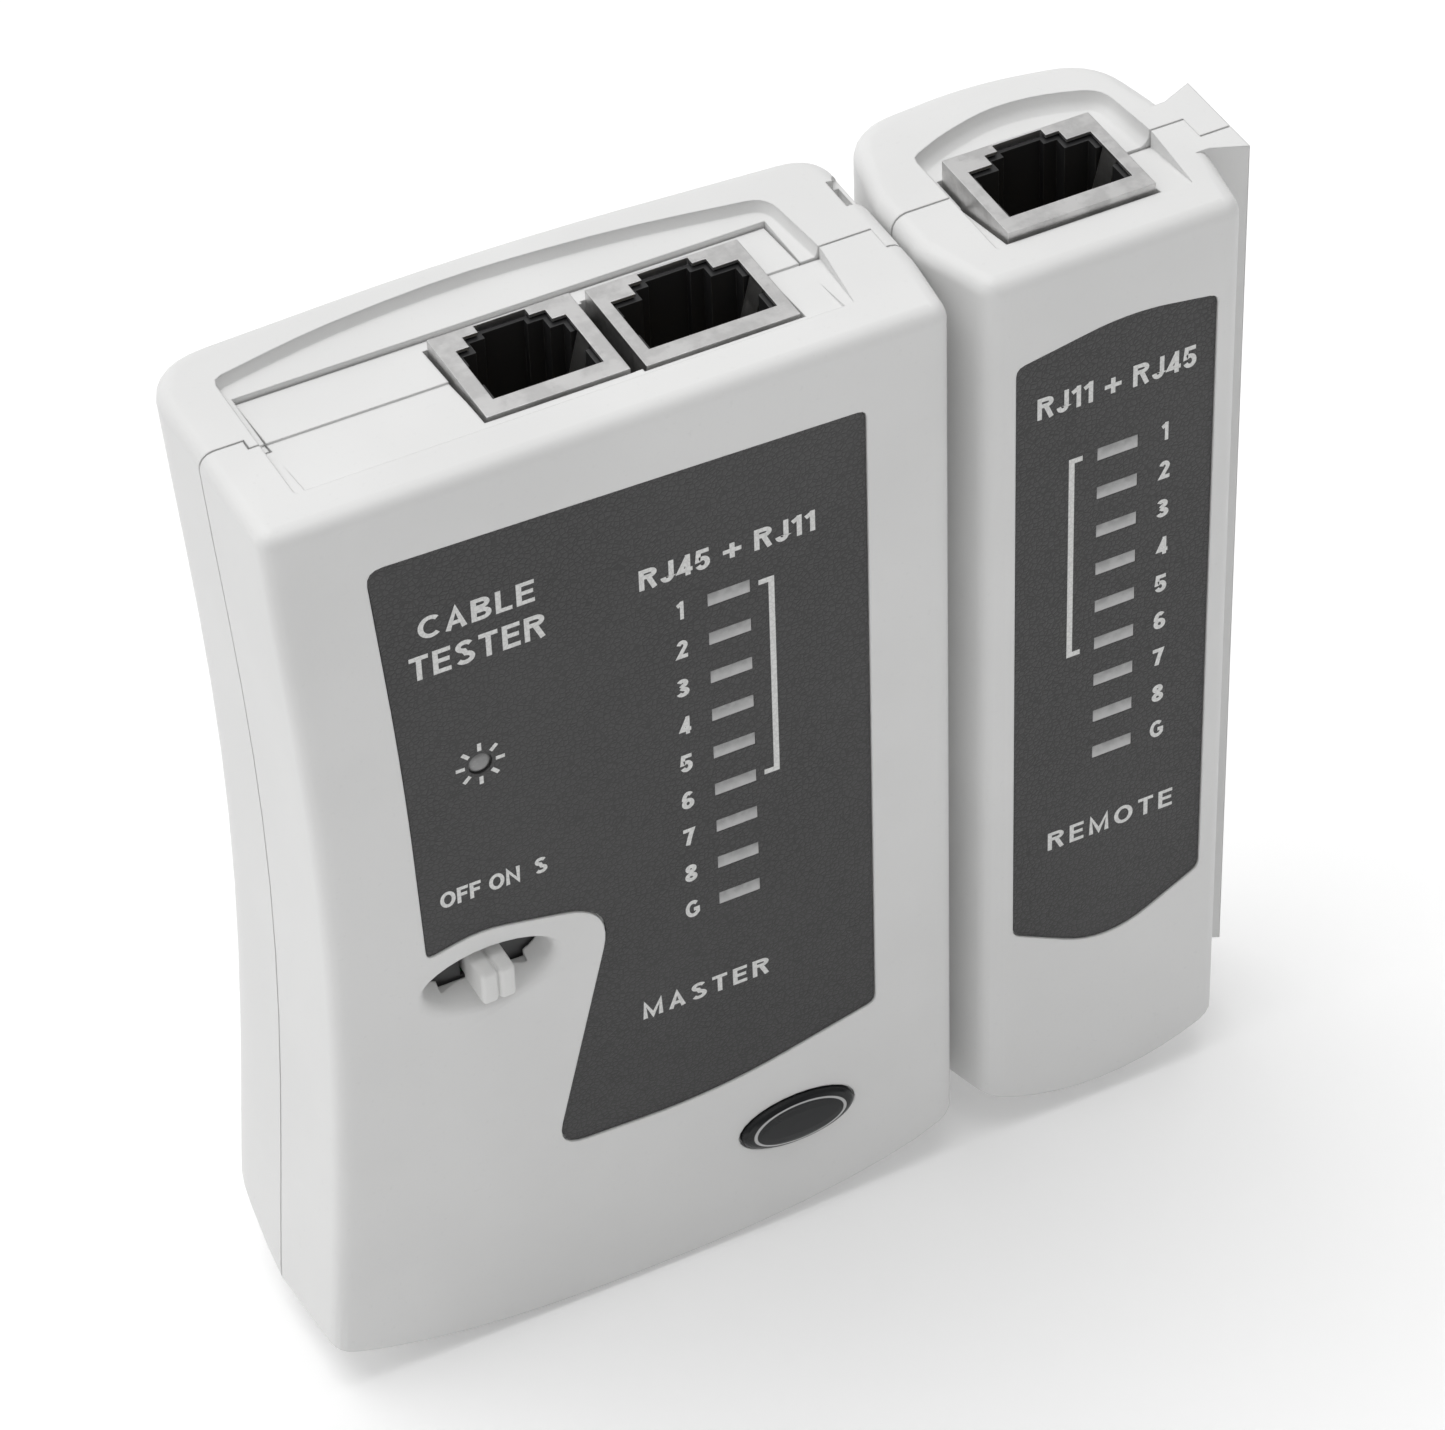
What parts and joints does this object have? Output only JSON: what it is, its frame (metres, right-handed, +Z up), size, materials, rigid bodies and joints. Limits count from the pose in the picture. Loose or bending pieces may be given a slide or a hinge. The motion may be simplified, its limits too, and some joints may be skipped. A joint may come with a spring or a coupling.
{
  "type": "network cable tester",
  "caption": "Hand-held network cable tester: a wide master unit with modular sockets, slide switch and lamp column, and a narrow remote unit that slides on its side rail.",
  "frame": {"origin": "middle of the set in plan, at its lowest point", "axes": "+Z up towards the sockets, +X from the master unit to the remote unit, -Y out of the printed front"},
  "size_m": [0.1032, 0.031, 0.1095],
  "materials": {
    "housing_plastic": "fine spark-eroded satin",
    "label_film": "leather-grained film with pale print",
    "led_lens": "diffused lens",
    "circuit_board": "solder resist",
    "tin_plate": "bright tin plate",
    "socket_plastic": "moulded",
    "contact_gold": "gold flash",
    "badge_gloss": "domed resin",
    "switch_can": "stamped",
    "knob_plastic": "smooth",
    "battery_case": "printed jacket",
    "black_plastic": "moulded",
    "red_lead": "PVC sleeve",
    "screw_steel": "zinc plated"
  },
  "bodies": {
    "master_unit": {"master_front_shell": "housing_plastic", "master_rear_shell": "housing_plastic", "master_label": "label_film", "master_led_1": "led_lens", "master_led_2": "led_lens", "master_led_3": "led_lens", "master_led_4": "led_lens", "master_led_5": "led_lens", "master_led_6": "led_lens", "master_led_7": "led_lens", "master_led_8": "led_lens", "master_led_9": "led_lens", "power_led": "led_lens", "master_board": "circuit_board", "socket_a_shield": "tin_plate", "socket_a_housing": "socket_plastic", "socket_a_contacts": "contact_gold", "socket_b_shield": "tin_plate", "socket_b_housing": "socket_plastic", "socket_b_contacts": "contact_gold", "badge": "badge_gloss", "switch_body": "switch_can", "battery": "battery_case", "battery_snap": "black_plastic", "battery_lead_red": "red_lead", "battery_lead_black": "black_plastic", "master_chip": "black_plastic", "master_screw_1": "screw_steel", "master_screw_2": "screw_steel", "master_screw_3": "screw_steel", "master_screw_4": "screw_steel"},
    "remote_unit": {"remote_front_shell": "housing_plastic", "remote_rear_shell": "housing_plastic", "remote_label": "label_film", "remote_led_1": "led_lens", "remote_led_2": "led_lens", "remote_led_3": "led_lens", "remote_led_4": "led_lens", "remote_led_5": "led_lens", "remote_led_6": "led_lens", "remote_led_7": "led_lens", "remote_led_8": "led_lens", "remote_led_9": "led_lens", "remote_board": "circuit_board", "socket_c_shield": "tin_plate", "socket_c_housing": "socket_plastic", "socket_c_contacts": "contact_gold", "remote_screw_1": "screw_steel", "remote_screw_2": "screw_steel"},
    "door": {"battery_door": "housing_plastic"},
    "knob": {"switch_knob": "knob_plastic", "switch_slip": "black_plastic"}
  },
  "joints": [
    {"name": "remote_slide", "type": "slide", "parent": "master_unit", "child": "remote_unit", "axis": [0, 0, 1], "range_m": [0, 0.106]},
    {"name": "switch_slide", "type": "slide", "parent": "master_unit", "child": "knob", "axis": [1, 0, 0], "range_m": [-0.0025, 0.0025]},
    {"name": "battery_door_slide", "type": "slide", "parent": "master_unit", "child": "door", "axis": [0, 0, -1], "range_m": [0, 0.034]}
  ]
}
